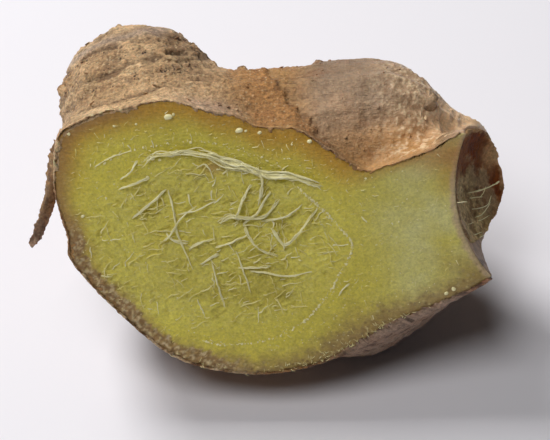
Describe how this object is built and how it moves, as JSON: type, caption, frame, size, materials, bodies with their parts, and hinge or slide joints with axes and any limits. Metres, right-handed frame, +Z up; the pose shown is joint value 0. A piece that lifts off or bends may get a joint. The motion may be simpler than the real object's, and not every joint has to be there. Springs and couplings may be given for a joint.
{
  "type": "ginger root",
  "caption": "Cut piece of fresh ginger root with a yellow-green fibrous cut face, brown ringed skin, a broken end and a hanging strip of skin.",
  "frame": {"origin": "on the surface that the piece rests on, under the middle of its bounding box", "axes": "+X to the right along the cut face, +Y towards the back of the piece, +Z up; the cut face looks towards -Y and up"},
  "size_m": [0.0676, 0.0472, 0.045],
  "materials": {
    "ginger_skin": "thin dry brown skin with rings and fine wrinkles, slightly glossy on the lobes",
    "ginger_flesh": "moist yellow-green cut flesh with pale fibres"
  },
  "bodies": {
    "root": {"ginger_root": "ginger_skin"}
  },
  "joints": []
}
